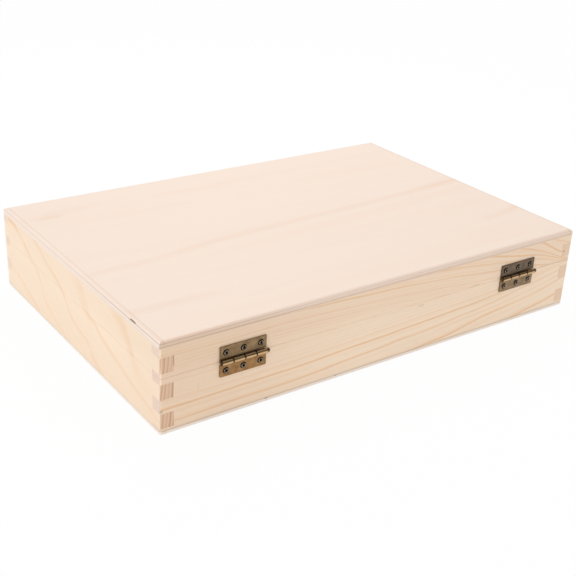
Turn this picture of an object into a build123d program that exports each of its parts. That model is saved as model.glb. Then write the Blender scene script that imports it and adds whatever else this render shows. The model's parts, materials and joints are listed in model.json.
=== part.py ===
from build123d import *
import os
from math import ceil, cos, radians, sin

os.makedirs("parts", exist_ok=True)

# A flat lidded box of finger-jointed pine with a plywood top and bottom. It stands
# closed on its bottom panel: X runs along the hinged side, the hinges are at +Y, Z is up,
# and the origin is the middle of the underside. Sizes are in millimetres.

# Outside of the box
length = 400.0
depth = 275.0
corner_radius = 1.5
top_edge_radius = 4.0
bottom_edge_chamfer = 0.4
seam_chamfer = 0.3

# Boards and panels
board_thickness = 10.5
bottom_ply_thickness = 3.0
top_ply_thickness = 5.0
base_board_height = 40.8
lid_board_height = 22.6

# Finger joints, cut in one set of boards before the closed box was sawn into base and lid
finger_pitch = 22.6
side_finger_height = 11.8
first_finger_height = 1.8
saw_kerf = 2.4

# Irregularities that show on this box: a joint left open beside one finger of the lid
# and a gap in the top panel's core veneer
open_joint_width = 0.45
open_joint_height = 8.0
core_gap_length = 8.0
core_gap_height = 1.0
core_gap_depth = 2.5
core_gap_from_back = 38.5
core_gap_rise = 3.3

# Hinges: a leaf on the base and one on the lid, rolled from sheet around a pin
hinge_length = 38.0
hinge_from_end = 65.0
leaf_height = 11.8
leaf_thickness = 1.0
base_leaf_corner_radius = 1.0
lid_leaf_corner_radius = 0.5
knuckle_count = 4
knuckle_gap = 0.2
knuckle_clearance = 0.3
roll_end_angle = 117.0
pin_radius = 0.85
pin_fit = 0.05
pin_head_radius = 1.6
pin_head_height = 1.9
pin_dome_height = 0.8
pin_head_gap = 0.2
pin_tail = 0.35

# Holes for the hinge screws, three in each leaf, countersunk right through the thin sheet
screw_spacing = 14.2
leaf_hole_radius = 1.5

# Clasp: a flat hook that turns on one round-head screw and catches another
clasp_reach = 18.0
hook_thickness = 1.2
hook_lift = 0.3
hook_play = 0.2
hook_eye_radius = 3.8
hook_arm_width = 4.4
hook_end_radius = 4.5
hook_tab_radius = 2.0
hook_tab_reach = 1.2
hook_arm_blend = 2.0
hook_tab_blend = 1.0
hook_bore_fit = 0.08
catch_clearance = 0.3
catch_mouth_angle = 32.0
clasp_screw_radius = 1.25
clasp_screw_length = 8.5
clasp_head_radius = 2.1
clasp_head_height = 1.3
wood_fit = 0.05

# Heights and places that follow from the sizes above
seam = bottom_ply_thickness + base_board_height
frame_top = seam + lid_board_height
back = depth / 2
front = -depth / 2
right = length / 2
left = -length / 2

knuckle_bore = pin_radius + pin_fit
knuckle_radius = knuckle_bore + leaf_thickness
hinge_axis_y = back + knuckle_clearance + knuckle_radius
notch_depth = knuckle_radius + knuckle_clearance
knuckle_length = (hinge_length - (knuckle_count - 1) * knuckle_gap) / knuckle_count
screw_row = (notch_depth + leaf_height) / 2
countersink_radius = leaf_hole_radius + leaf_thickness
hinge_centres = {"left": left + hinge_from_end, "right": right - hinge_from_end}

clasp_screw_heights = {"base": seam - clasp_reach / 2, "lid": seam + clasp_reach / 2}
clasp_pivot_z = clasp_screw_heights["base"]
clasp_neck_length = hook_lift + hook_thickness + hook_play


def finish(piece, name):
    """Label a finished piece and write it under its own name."""
    piece.part.label = name
    export_step(piece.part, f"parts/{name}.step")
    print(name, round(piece.part.volume, 1), "cubic mm")


# Boards: each is its outline, with its fingers, cut from the sanded outside of its half


def side_finger_spans(low, high, sawn_away):
    """Lowest and highest points of the side boards' fingers between two heights."""
    count = ceil((high + sawn_away - bottom_ply_thickness) / finger_pitch)
    spans = []
    for step in range(count):
        start = bottom_ply_thickness + first_finger_height + step * finger_pitch - sawn_away
        span = (max(start, low), min(start + side_finger_height, high))
        if span[1] > span[0]:
            spans.append(span)
    return spans


def sanded_half(low, high):
    """The outside of the base or the lid: round upright corners and an eased sawn edge."""
    with BuildPart() as block:
        with BuildSketch(Plane.XY.offset(low)):
            RectangleRounded(length, depth, corner_radius)
        extrude(amount=high - low)
        flat_faces = faces().filter_by(Axis.Z)
        sawn_face = flat_faces.sort_by(lambda face: abs(face.center().Z - seam))[0]
        chamfer(sawn_face.edges(), seam_chamfer)
    return block.part


def long_board_outline(low, high, sawn_away):
    """A front or back board seen along Y, with notches where the side boards' fingers come."""
    notch_centre = (length - board_thickness) / 2
    with BuildSketch() as outline:
        with Locations((0, (low + high) / 2)):
            Rectangle(length, high - low)
        for start, end in side_finger_spans(low, high, sawn_away):
            middle = (start + end) / 2
            with Locations((-notch_centre, middle), (notch_centre, middle)):
                Rectangle(board_thickness, end - start, mode=Mode.SUBTRACT)
    return outline.sketch


def side_board_outline(low, high, sawn_away):
    """A left or right board seen along X: its body between the long boards, and its fingers."""
    with BuildSketch() as outline:
        with Locations((0, (low + high) / 2)):
            Rectangle(depth - 2 * board_thickness, high - low)
        for start, end in side_finger_spans(low, high, sawn_away):
            with Locations((0, (start + end) / 2)):
                Rectangle(depth, end - start)
    return outline.sketch


halves = {
    "base": (bottom_ply_thickness, seam, 0.0),
    "lid": (seam, frame_top, saw_kerf),
}

for half, (low, high, sawn_away) in halves.items():
    half_block = sanded_half(low, high)

    # The front board, drilled for its clasp screw
    with BuildPart() as front_board:
        add(half_block)
        with BuildSketch(Plane.XZ.offset(back - board_thickness)):
            add(long_board_outline(low, high, sawn_away))
        extrude(amount=board_thickness, mode=Mode.INTERSECT)
        with Locations(Plane(origin=(0, front, clasp_screw_heights[half]), z_dir=(0, -1, 0))):
            Hole(clasp_screw_radius + wood_fit, clasp_screw_length + wood_fit)
    finish(front_board, f"{half}_front_board")

    with BuildPart() as back_board:
        add(half_block)
        with BuildSketch(Plane.XZ.offset(-back)):
            add(long_board_outline(low, high, sawn_away))
            if half == "lid":
                # The joint stands open beside the upper part of the right-hand finger
                finger_top = side_finger_spans(low, high, sawn_away)[-1][1]
                with Locations((right - board_thickness, finger_top)):
                    gap = (open_joint_width, open_joint_height)
                    Rectangle(*gap, align=(Align.MAX, Align.MAX), mode=Mode.SUBTRACT)
        extrude(amount=board_thickness, mode=Mode.INTERSECT)
    finish(back_board, f"{half}_back_board")

    with BuildPart() as left_board:
        add(half_block)
        with BuildSketch(Plane.YZ.offset(left)):
            add(side_board_outline(low, high, sawn_away))
        extrude(amount=board_thickness, mode=Mode.INTERSECT)
    finish(left_board, f"{half}_left_board")

    with BuildPart() as right_board:
        add(half_block)
        with BuildSketch(Plane.YZ.offset(right - board_thickness)):
            add(side_board_outline(low, high, sawn_away))
        extrude(amount=board_thickness, mode=Mode.INTERSECT)
    finish(right_board, f"{half}_right_board")


# Plywood panels, glued on flush

with BuildPart() as bottom_panel:
    with BuildSketch(Plane.XY):
        RectangleRounded(length, depth, corner_radius)
    extrude(amount=bottom_ply_thickness)
    chamfer(faces().sort_by(Axis.Z)[0].edges(), bottom_edge_chamfer)
finish(bottom_panel, "base_bottom_panel")

with BuildPart() as top_panel:
    with BuildSketch(Plane.XY.offset(frame_top)):
        Rectangle(length, depth)
    extrude(amount=top_ply_thickness)
    # The rounded top edges meet in mitres, which the upright corners then cut off
    fillet(faces().sort_by(Axis.Z)[-1].edges(), top_edge_radius)
    with BuildSketch(Plane.XY.offset(frame_top)):
        RectangleRounded(length, depth, corner_radius)
    extrude(amount=top_ply_thickness, mode=Mode.INTERSECT)
    # The gap in the core veneer opens at the right-hand edge
    with Locations((right, back - core_gap_from_back, frame_top + core_gap_rise)):
        Box(2 * core_gap_depth, core_gap_length, core_gap_height, mode=Mode.SUBTRACT)
finish(top_panel, "lid_top_panel")


# Hinges


def knuckle_section(way):
    """A knuckle seen along X: the leaf rises clear of the wood and rolls round the pin."""
    leaf_end = seam + way * notch_depth
    far = 2 * knuckle_radius
    turn = radians(roll_end_angle)
    with BuildSketch() as section:
        with Locations((hinge_axis_y, seam)):
            Circle(knuckle_radius)
            Circle(knuckle_bore, mode=Mode.SUBTRACT)
        # The roll stops just short of the leaf that it came from
        with BuildLine():
            Polyline(
                (hinge_axis_y, seam),
                (hinge_axis_y - far, seam),
                (hinge_axis_y - far, seam + way * far),
                (hinge_axis_y + far * cos(turn), seam + way * far * sin(turn)),
                close=True,
            )
        make_face(mode=Mode.SUBTRACT)
        with BuildLine():
            Polyline(
                (back, leaf_end),
                (back + leaf_thickness, leaf_end),
                (back + knuckle_clearance + leaf_thickness, seam),
                (back + knuckle_clearance, seam),
                close=True,
            )
        make_face()
    return section.sketch


def hinge_leaf(centre, way, first_knuckle):
    """One leaf: way is 1 on the lid and -1 on the base; it has every other knuckle."""
    leaf_end = seam + way * leaf_height
    outer_radius = lid_leaf_corner_radius if way > 0 else base_leaf_corner_radius
    with BuildPart() as leaf:
        with BuildSketch(Plane.XZ.offset(-back)) as plate:
            with Locations((centre, seam + way * screw_row)):
                Rectangle(hinge_length, leaf_height - notch_depth)
            outer_corners = plate.vertices().sort_by(lambda corner: abs(corner.Y - leaf_end))[:2]
            fillet(outer_corners, outer_radius)
        extrude(amount=-leaf_thickness)
        for number in range(first_knuckle, knuckle_count, 2):
            start = centre - hinge_length / 2 + number * (knuckle_length + knuckle_gap)
            with BuildSketch(Plane.YZ.offset(start)):
                add(knuckle_section(way))
            extrude(amount=knuckle_length)
        for step in (-1, 0, 1):
            spot = (centre + step * screw_spacing, back, seam + way * screw_row)
            with Locations(Plane(origin=spot, z_dir=(0, 1, 0))):
                cone_size = (leaf_hole_radius, countersink_radius, leaf_thickness)
                from_the_back = (Align.CENTER, Align.CENTER, Align.MIN)
                Cone(*cone_size, align=from_the_back, mode=Mode.SUBTRACT)
    return leaf


def hinge_pin(centre):
    """The pin lies in all the knuckles, with a domed head past the hinge's left end."""
    head_inner = centre - hinge_length / 2 - pin_head_gap
    head_outer = head_inner - pin_head_height
    tail = centre + hinge_length / 2 + pin_tail
    with BuildPart() as pin:
        with BuildSketch(Plane.XY.offset(seam)):
            with BuildLine():
                dome_edge = (head_outer + pin_dome_height, hinge_axis_y + pin_head_radius)
                dome = TangentArc((head_outer, hinge_axis_y), dome_edge, tangent=(0, 1))
                Polyline(
                    dome @ 1,
                    (head_inner, hinge_axis_y + pin_head_radius),
                    (head_inner, hinge_axis_y + pin_radius),
                    (tail, hinge_axis_y + pin_radius),
                    (tail, hinge_axis_y),
                    dome @ 0,
                )
            make_face()
        revolve(axis=Axis((0, hinge_axis_y, seam), (1, 0, 0)))
    return pin


for side, centre in hinge_centres.items():
    finish(hinge_leaf(centre, -1, 0), f"{side}_hinge_base_leaf")
    finish(hinge_leaf(centre, 1, 1), f"{side}_hinge_lid_leaf")
    finish(hinge_pin(centre), f"{side}_hinge_pin")


# Clasp, in the middle of the front

hook_end_z = clasp_pivot_z - clasp_reach

with BuildPart() as hook:
    with BuildSketch(Plane.XZ.offset(back + hook_lift)) as hook_outline:
        with Locations((0, clasp_pivot_z)):
            Circle(hook_eye_radius)
        with Locations((0, (clasp_pivot_z + hook_end_z) / 2)):
            Rectangle(hook_arm_width, clasp_reach)
        with Locations((0, hook_end_z)):
            Circle(hook_end_radius)
        fillet(hook_outline.vertices(), hook_arm_blend)
        with Locations((0, hook_end_z - hook_end_radius - hook_tab_reach)):
            Circle(hook_tab_radius)
        fillet(hook_outline.vertices().sort_by(Axis.Y)[:2], hook_tab_blend)
        # The mouth follows the catch screw's own path round the pivot, so that it swings over it
        with BuildLine(mode=Mode.PRIVATE) as mouth_path:
            CenterArc((0, clasp_pivot_z), clasp_reach, -90, catch_mouth_angle)
        SlotArc(mouth_path.wire(), 2 * (clasp_screw_radius + catch_clearance), mode=Mode.SUBTRACT)
        with Locations((0, clasp_pivot_z)):
            Circle(clasp_screw_radius + hook_bore_fit, mode=Mode.SUBTRACT)
    extrude(amount=hook_thickness)
finish(hook, "clasp_hook")


def clasp_screw(height):
    """A round-head screw, driven into the front until its neck leaves room for the hook."""
    underside = front - clasp_neck_length
    with BuildPart() as screw:
        with BuildSketch(Plane.XY.offset(height)):
            with BuildLine():
                top_of_dome = (0, underside - clasp_head_height)
                dome = TangentArc(top_of_dome, (clasp_head_radius, underside), tangent=(1, 0))
                Polyline(
                    dome @ 1,
                    (clasp_screw_radius, underside),
                    (clasp_screw_radius, front + clasp_screw_length),
                    (0, front + clasp_screw_length),
                    dome @ 0,
                )
            make_face()
        revolve(axis=Axis((0, 0, height), (0, 1, 0)))
    return screw


finish(clasp_screw(clasp_screw_heights["base"]), "clasp_pivot_screw")
finish(clasp_screw(clasp_screw_heights["lid"]), "clasp_catch_screw")
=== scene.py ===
# %% [markdown]
# # A hinged wooden box
# This lesson dresses a finished CAD model of a small pine box. The solids already have their
# true sizes and places, in metres, so nothing here moves them: each one gets a finer surface,
# a material that follows the real thing, or both. The screws are modelled here from nothing.

# %% Load the box
import json
import math

import bmesh
import bpy
from mathutils import Matrix, Vector


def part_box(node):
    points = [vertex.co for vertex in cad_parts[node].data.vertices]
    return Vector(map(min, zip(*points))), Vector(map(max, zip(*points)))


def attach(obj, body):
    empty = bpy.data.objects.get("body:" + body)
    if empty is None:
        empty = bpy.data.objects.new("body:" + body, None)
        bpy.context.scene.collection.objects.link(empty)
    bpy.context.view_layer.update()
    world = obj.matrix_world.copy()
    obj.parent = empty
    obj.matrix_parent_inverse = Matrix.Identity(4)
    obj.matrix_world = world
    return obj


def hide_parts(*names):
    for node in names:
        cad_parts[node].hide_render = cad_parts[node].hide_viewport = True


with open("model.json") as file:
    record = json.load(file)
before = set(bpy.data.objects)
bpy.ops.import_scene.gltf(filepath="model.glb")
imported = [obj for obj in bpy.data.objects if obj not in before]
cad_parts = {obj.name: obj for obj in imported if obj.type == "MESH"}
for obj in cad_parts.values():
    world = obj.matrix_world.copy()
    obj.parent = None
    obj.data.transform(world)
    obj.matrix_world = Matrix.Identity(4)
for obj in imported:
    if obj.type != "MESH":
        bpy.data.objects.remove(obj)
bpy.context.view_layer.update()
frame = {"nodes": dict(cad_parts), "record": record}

MM = 0.001
print("CAD solids:", len(frame["nodes"]))

# %% [markdown]
# ## Reading places from the solids
# A box could be typed in again as numbers, but then a later change to the solids would leave
# the looks behind. Reading the corners of the solids keeps the two together.

# %% Sizes of the real object, in millimetres
half_length, half_depth = (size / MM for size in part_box("base_bottom_panel")[1][:2])
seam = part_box("base_back_board")[1][2] / MM
frame_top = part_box("lid_back_board")[1][2] / MM
print("Half length", round(half_length, 2), "half depth", round(half_depth, 2))
print("Seam at", round(seam, 2), "top of the boards at", round(frame_top, 2))

# %% [markdown]
# ## Colours and nodes
# Colours are picked on a screen, in sRGB, but the shader works with linear light, so one
# function turns a hex value into linear numbers. A material could be built by hand in the node
# editor. In a script, one function that adds any node, with its settings and whatever feeds its
# inputs, keeps each material short enough to read from top to bottom.

# %% Helpers for materials
def colour(hex_value):
    """Turn an sRGB hex value into linear red, green, blue and alpha."""
    parts = [int(hex_value[i:i + 2], 16) / 255 for i in (0, 2, 4)]
    linear = [c / 12.92 if c <= 0.04045 else ((c + 0.055) / 1.055) ** 2.4 for c in parts]
    return (*linear, 1.0)


def add(tree, kind, inputs=(), **settings):
    """Add a node: its inputs, by place or name, are numbers, hex colours, nodes or outputs."""
    new = tree.nodes.new("ShaderNode" + kind)
    for name, value in settings.items():
        setattr(new, name, value)
    for key, value in inputs.items() if isinstance(inputs, dict) else enumerate(inputs):
        if isinstance(value, bpy.types.Node):
            value = next(socket for socket in value.outputs if socket.enabled)
        if isinstance(value, bpy.types.NodeSocket):
            tree.links.new(value, new.inputs[key])
        else:
            new.inputs[key].default_value = colour(value) if isinstance(value, str) else value
    return new


def empty_material(name):
    """A material with no nodes yet."""
    material = bpy.data.materials.new(name)
    material.use_nodes = True
    material.node_tree.nodes.clear()
    return material, material.node_tree


print("White is", colour("FFFFFF"))

# %% [markdown]
# ## Pine
# The boards are flat-sawn pine, planed and sanded but not sealed. Sawn that way, a board shows
# long pointed arches of dark latewood. A noise texture could make rings of some kind, but this
# box has its own: so a few rings of each board are drawn, as points along the board, and the
# fainter ones are spaced evenly between them. The lid and the base share one material on each
# side of the box, because they were one board before the saw parted them.

# %% How each board lay in its tree, in millimetres
# along: the object axis, its sign and its start, so that it counts from one end of the board.
# into: the same for the depth below the outer face. A drawn ring has a number, or None where
# the even ones pay no heed to it, the width of its soft and of its crisp side, and points of
# (along, height, strength). On the upper side of the arches the numbers grow upwards, on the
# lower side downwards, and middle is where they meet: a board without a middle has no arches.
# fine is how dark the even rings are. ends are the end grain's light and dark colours,
# end_rings the width of its rings, and end_slope how they lean. The wood grows warmer along or
# up the board, from one place to another, by so much; where it darkens along the back and right
# boards towards their shared near corner, that is painted shade. A mark has its middle and its
# half sizes, as (along, into, up), and how dark it is; one below zero makes the place paler.
# Some marks are painted light: painted shade behind the hinges and along the foot of the back
# board, and a painted highlight down the near corner.
boards = {
    "back": {
        "along": ("X", -1, half_length), "into": ("Y", -1, half_depth), "seed": 3.0,
        "middle": ((0, 42), (150, 43), (300, 44.3), (400, 44.8)), "fine": 0.30,
        "upper": (
            (0, 1, 1, ((0, 42, 0), (100, 42.5, 0), (200, 40, 0), (300, 33, 0), (350, 24, 0),
                       (400, 10, 0))),
            (5, 1.4, 0.7, ((0, 54.5, 0.1), (60, 55, 0.15), (130, 54.5, 0.35), (170, 52, 0.3),
                           (230, 48, 0.3), (283, 45, 0.3), (320, 41, 0), (400, 22, 0))),
            (None, 1.5, 0.8, ((0, 60.5, 0.3), (60, 60, 0.45), (100, 60.3, 0.5), (140, 58.5, 0.45),
                              (200, 55.5, 0.35), (270, 49.5, 0.4), (316, 46, 0.4), (400, 38, 0))),
            (10, 1.6, 0.9, ((0, 68, 0), (100, 67.5, 0.3), (130, 66, 0.6), (160, 64.5, 0.8),
                            (200, 62.8, 0.75), (240, 59.7, 0.5), (290, 55, 0.6), (335, 50, 0.6),
                            (366, 45.8, 0.9), (400, 38, 0.2))),
            (None, 1.6, 0.9, ((0, 80, 0), (230, 68.5, 0.5), (250, 66.5, 0.75), (275, 64, 0.65),
                              (300, 61, 0.6), (330, 57, 0.6), (358, 53, 0.6), (385, 46, 0.5),
                              (400, 42, 0.3))),
            (14, 1.7, 0.9, ((0, 84, 0), (200, 76, 0), (290, 69, 0.5), (308, 66.3, 0.9),
                            (330, 61.7, 0.9), (355, 57.5, 0.7), (378, 50.5, 0.7), (400, 43, 0.5))),
            (None, 1.6, 0.9, ((0, 92, 0), (300, 75, 0), (335, 67, 0.8), (350, 63.3, 0.8),
                              (362, 59.6, 0.7), (376, 53.8, 0.7), (390, 48, 0.7),
                              (400, 44.6, 0.6))),
            (17, 1.6, 1.0, ((0, 98, 0), (300, 83, 0), (358, 67.8, 0.8), (366, 65, 1.0),
                            (373, 61.2, 1.0), (381, 56.5, 1.0), (389, 53, 0.9), (400, 49, 0.7))),
            (None, 1.4, 0.8, ((0, 105, 0), (340, 82, 0), (376, 67.2, 0.6), (386, 63.8, 0.7),
                              (400, 59, 0.7))),
        ),
        "lower": (
            (0, 1, 1, ((0, 42, 0), (150, 42.5, 0), (250, 45, 0), (350, 50, 0), (400, 56, 0))),
            (5, 1.5, 0.8, ((0, 26.2, 0.3), (60, 26, 0.35), (130, 27, 0.4), (200, 30, 0.4),
                           (250, 31.8, 0.4), (300, 34.2, 0.4), (350, 38, 0.3), (400, 45, 0.2))),
            (7, 1.2, 1.7, ((0, 19.4, 0.9), (60, 20.3, 0.85), (130, 21.4, 0.9), (200, 24.4, 0.95),
                           (270, 27.4, 0.9), (315, 30.6, 0.7), (360, 36.2, 0.5), (400, 42.5, 0.4))),
            (9, 1.3, 1.9, ((0, 8.2, 0.35), (50, 9.6, 0.7), (100, 10, 0.75), (140, 11.6, 0.8),
                           (200, 15.3, 0.75), (250, 17.9, 0.6), (300, 22.6, 0.6), (355, 30, 0.5),
                           (400, 36.5, 0.5))),
            (None, 1.2, 1.3, ((0, 0, 0), (230, 11.5, 0), (262, 15, 0.35), (300, 18.3, 0.45),
                              (340, 22, 0.4), (375, 27.5, 0.4), (400, 32, 0.4))),
            (11, 1.4, 2.0, ((0, -8, 0), (200, 2, 0.2), (240, 4.6, 0.8), (264, 6, 0.9),
                            (286, 10, 0.8), (312, 14.4, 0.9), (345, 17.4, 0.5), (375, 22.3, 0.6),
                            (400, 28, 0.5))),
            (13, 1.5, 2.0, ((0, -20, 0), (200, -12, 0), (300, -3, 0), (336, 3, 0.6), (360, 7, 0.9),
                            (382, 11, 0.9), (400, 16, 0.6))),
        ),
        "ends": ("EED6C5", "E7CBB7"), "end_rings": 2.6, "end_slope": 0.6,
        # The drift along, darker towards the near corner, is painted shade
        "warmer_and_shaded": (("up", 22, 34, 0.07), ("up", 38, 52, 0.21), ("along", 170, 15, 0.38)),
        # Painted highlight down the near corner; painted shade along the foot and behind both
        # hinges
        "marks_and_painted_light": (((0.8, 0, 62), (0.9, 0.7, 34), -0.2), ((200, 0, 3.2), (260, 2, 1.0), 0.12),
                  ((1.0, 0, 18.5), (1.4, 1.5, 1.1), 0.28), ((29.5, 0, 29.5), (0.6, 1, 3.2), 0.07),
                  ((230, 0, 41), (3.4, 1, 1.2), 0.11), ((289, 0, 44.6), (5.0, 1, 0.5), 0.22),
                  ((65, 0, seam), (19.6, 2, 3.0), 0.82), ((335, 0, seam), (19.6, 2, 3.0), 0.82),
                  ((392, 0, 43.9), (44, 1.5, 0.5), 0.22)),
    },
    "right": {
        "along": ("Y", -1, half_depth), "into": ("X", -1, half_length), "seed": 11.0,
        "middle": None, "fine": 0.05,
        "upper": (
            (0, 4, 3, ((0, -38, 0), (100, -28, 0), (180, -8, 0), (205, 3, 0.35), (222, 10, 0.3),
                       (275, 26, 0.15))),
            (3, 4, 3.5, ((0, -36, 0), (130, -6, 0), (160, 6, 0.15), (182, 14, 0.25), (192, 20, 0.3),
                         (203, 38, 0.35), (212, 44.5, 0.2), (226, 52, 0.55), (236, 58, 0.25),
                         (246, 63, 0.6), (256, 65.3, 0.75), (275, 65.5, 0.4))),
            (6, 4, 3, ((0, -25, 0), (60, -4, 0), (100, 9, 0.3), (112, 19, 0.3), (130, 23, 0.3),
                       (142, 28, 0.4), (151, 39, 0.4), (160, 46, 0.4), (172, 51, 0.4),
                       (187, 56, 0.3), (197, 62.5, 0.35), (210, 66, 0.3), (275, 86, 0))),
            (9, 4.2, 3.2, ((0, 9.5, 0.15), (10, 12.5, 0.25), (28, 17, 0.28), (45, 21, 0.32),
                           (60, 26, 0.3), (75, 30, 0.36), (90, 35.5, 0.38), (99, 41, 0.42),
                           (112, 43.5, 0.42), (120, 48, 0.3), (130, 60, 0.15), (275, 118, 0))),
            (None, 14, 12, ((0, 6, 0), (100, 34, 0), (112, 48, 0.22), (122, 60, 0.22), (160, 90, 0),
                            (275, 118, 0))),
            (12, 15, 12, ((0, 22, 0), (20, 29, 0.08), (34, 36, 0.2), (42, 48, 0.3), (50, 58, 0.32),
                          (66, 70, 0.32), (120, 96, 0), (275, 119, 0))),
            (None, 2, 2, ((0, -20, 0), (90, 2, 0), (98, 5, 0.3), (106, 9, 0.3), (116, 13, 0),
                          (275, 60, 0))),
        ),
        "ends": ("E6C3A7", "C49A7B"), "end_rings": 2.85, "end_slope": -0.1,
        # The drift along, darker towards the near corner, is painted shade
        "warmer_and_shaded": (("along", 90, 15, 0.12), ("up", 44, 60, 0.06)),
        # This mark is a painted highlight down the near corner
        "marks_and_painted_light": (((0, 0.8, 62), (0.7, 0.9, 34), -0.2),),
    },
    "front": {
        "along": ("X", 1, half_length), "into": ("Y", 1, half_depth), "seed": 23.0,
        "middle": ((0, 23), (200, 25), (400, 31)), "fine": 0.30,
        "upper": (
            (0, 1, 1, ((0, 23, 0), (120, 22, 0), (250, 14, 0), (400, -4, 0))),
            (5, 1.5, 0.8, ((0, 36, 0.3), (100, 35.5, 0.4), (200, 33, 0.4), (300, 27, 0.4),
                           (400, 16, 0.1))),
            (8, 1.6, 0.9, ((0, 45, 0.5), (90, 45.3, 0.8), (180, 43, 0.8), (270, 38, 0.7),
                           (350, 31.5, 0.7), (400, 26, 0.2))),
            (None, 1.4, 0.8, ((0, 50.5, 0.3), (150, 50, 0.4), (280, 45, 0.4), (400, 34, 0.4))),
            (12, 1.7, 1.0, ((0, 57, 0.7), (130, 57, 0.9), (230, 54, 0.8), (320, 48, 0.8),
                            (400, 38.5, 0.7))),
            (15, 1.6, 0.9, ((0, 71, 0), (150, 68, 0.5), (250, 64.5, 0.8), (340, 57, 0.8),
                            (400, 49, 0.8))),
            (None, 1.6, 0.9, ((0, 84, 0), (250, 72, 0), (330, 65, 0.7), (400, 58, 0.7))),
        ),
        "lower": (
            (0, 1, 1, ((0, 23, 0), (150, 24, 0), (300, 31, 0), (400, 40, 0))),
            (5, 1.5, 0.9, ((0, 12.5, 0.4), (120, 12.6, 0.5), (240, 15.5, 0.5), (340, 21, 0.5),
                           (400, 28, 0.4))),
            (7, 1.4, 1.6, ((0, 4, 0.5), (100, 4.4, 0.8), (220, 8, 0.8), (310, 13, 0.7),
                           (400, 20.5, 0.7))),
            (10, 1.4, 1.6, ((0, -9, 0), (180, -3, 0), (260, 3.2, 0.7), (340, 8.5, 0.8),
                            (400, 13, 0.6))),
        ),
        "ends": ("F4DFCC", "EAD1BC"), "end_rings": 2.8, "end_slope": 0.6,
        "warmer_and_shaded": (("up", -2, -1, 0.12),), "marks_and_painted_light": (((200, 0, seam), (260, 1.5, 0.5), 0.2),),
    },
    "left": {
        "along": ("Y", 1, half_depth), "into": ("X", 1, half_length), "seed": 37.0,
        "middle": None, "fine": 0.12,
        "upper": (
            (0, 4, 3, ((0, -30, 0), (130, -10, 0), (190, 4, 0.3), (240, 12, 0.3), (275, 16, 0.2))),
            (4, 4, 3, ((0, -12, 0), (60, 3, 0.3), (105, 11, 0.4), (150, 22, 0.35), (190, 27, 0.4),
                       (275, 40, 0.2))),
            (8, 4, 3, ((0, 15, 0.2), (40, 21, 0.4), (84, 35, 0.4), (120, 41, 0.45), (175, 51, 0.4),
                       (275, 68, 0.3))),
            (12, 5, 4, ((0, 40, 0.3), (50, 48, 0.4), (90, 61, 0.35), (140, 72, 0.3), (275, 95, 0))),
            (15, 5, 4, ((0, 60, 0.3), (60, 74, 0), (275, 110, 0))),
        ),
        "ends": ("EFD3B8", "E0BC9B"), "end_rings": 2.5, "end_slope": 0.1, "warmer_and_shaded": (),
        "marks_and_painted_light": (((275, 8.0, 52.5), (3, 0.8, 0.8), 0.75),
                  ((137, 0, seam), (180, 1.5, 0.5), 0.15)),
    },
}
drawn = [len(board["upper"]) + len(board.get("lower", ())) for board in boards.values()]
print("Rings drawn by hand:", sum(drawn))


# %% Where a point lies in its board
# A surface turns from face to end grain as its normal swings round to lie along the board
face_until, end_grain_from = 0.45, 0.8


def board_place(tree, board):
    """The point along, into and up its board, in millimetres, and how much end grain it is."""
    place = add(tree, "TexCoord")
    apart = add(tree, "SeparateXYZ", (place.outputs["Object"],))
    axis, sign, start = board["along"]
    along = add(tree, "Math", (apart.outputs[axis], sign / MM, start), operation="MULTIPLY_ADD")
    axis, sign, start = board["into"]
    into = add(tree, "Math", (apart.outputs[axis], sign / MM, start), operation="MULTIPLY_ADD")
    up = add(tree, "Math", (apart.outputs["Z"], 1 / MM), operation="MULTIPLY")
    facing = add(tree, "SeparateXYZ", (place.outputs["Normal"],))
    end_on = add(tree, "Math", (facing.outputs[board["along"][0]],), operation="ABSOLUTE")
    end_grain = add(tree, "MapRange", {"Value": end_on, "From Min": face_until,
                                       "From Max": end_grain_from},
                    interpolation_type="SMOOTHSTEP")
    return along, into, up, end_grain


print("Normal shares of face and end grain:", face_until, end_grain_from)


# %% Patterns of real sizes
# A noise has blobs about one unit wide, so its place is divided by the size they should have.
# The axes are set apart by a step, or a pattern would look alike along and across.
axis_step = 7.3


def patterns(tree, place, seed, table):
    """The noises of one finish, by name, from their sizes in mm, shifts and settings."""
    made = {}
    for name, (sizes, shift, settings) in table.items():
        factors = tuple(1 / size for size in sizes)
        offsets = tuple(seed + shift + axis_step * axis for axis in range(3))
        spot = add(tree, "VectorMath", (place, factors, offsets), operation="MULTIPLY_ADD")
        made[name] = add(tree, "TexNoise", {"Vector": spot, "Scale": 1.0, **settings})
    return made


print("Step between the axes:", axis_step)


# %% Lines drawn through given points
# A drawn ring may run on past the board, as low and as high as this
ring_low, ring_high = -40.0, 120.0


def drawn_line(tree, along, length, points, low, high):
    """The value, between low and high, of a smooth line through points of (along, value)."""
    share = add(tree, "Math", (along, length), operation="DIVIDE")
    line = add(tree, "FloatCurve", {"Value": share})
    line.mapping.extend = "HORIZONTAL"
    spots = line.mapping.curves[0].points
    scaled = [(x / length, (value - low) / (high - low)) for x, value in points]
    spots[0].location, spots[1].location = scaled[0], scaled[-1]
    for spot in scaled[1:-1]:
        spots.new(*spot)
    line.mapping.update()
    return add(tree, "Math", (line, high - low, low), operation="MULTIPLY_ADD")


def dark_beside(tree, height, line, soft, crisp):
    """Darkness of a latewood line: it rises softly up to the line, and ends crisply after it."""
    offset = add(tree, "Math", (height, line), operation="SUBTRACT")
    before = add(tree, "MapRange", {"Value": offset, "From Min": -soft, "From Max": 0.0},
                 interpolation_type="SMOOTHSTEP")
    after = add(tree, "MapRange", {"Value": offset, "From Min": 0.0, "From Max": crisp,
                                   "To Min": 1.0, "To Max": 0.0},
                interpolation_type="SMOOTHSTEP")
    return add(tree, "Math", (before, after), operation="MULTIPLY")


print("A line needs", len(boards["back"]["upper"][1][3]), "points or so")


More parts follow.
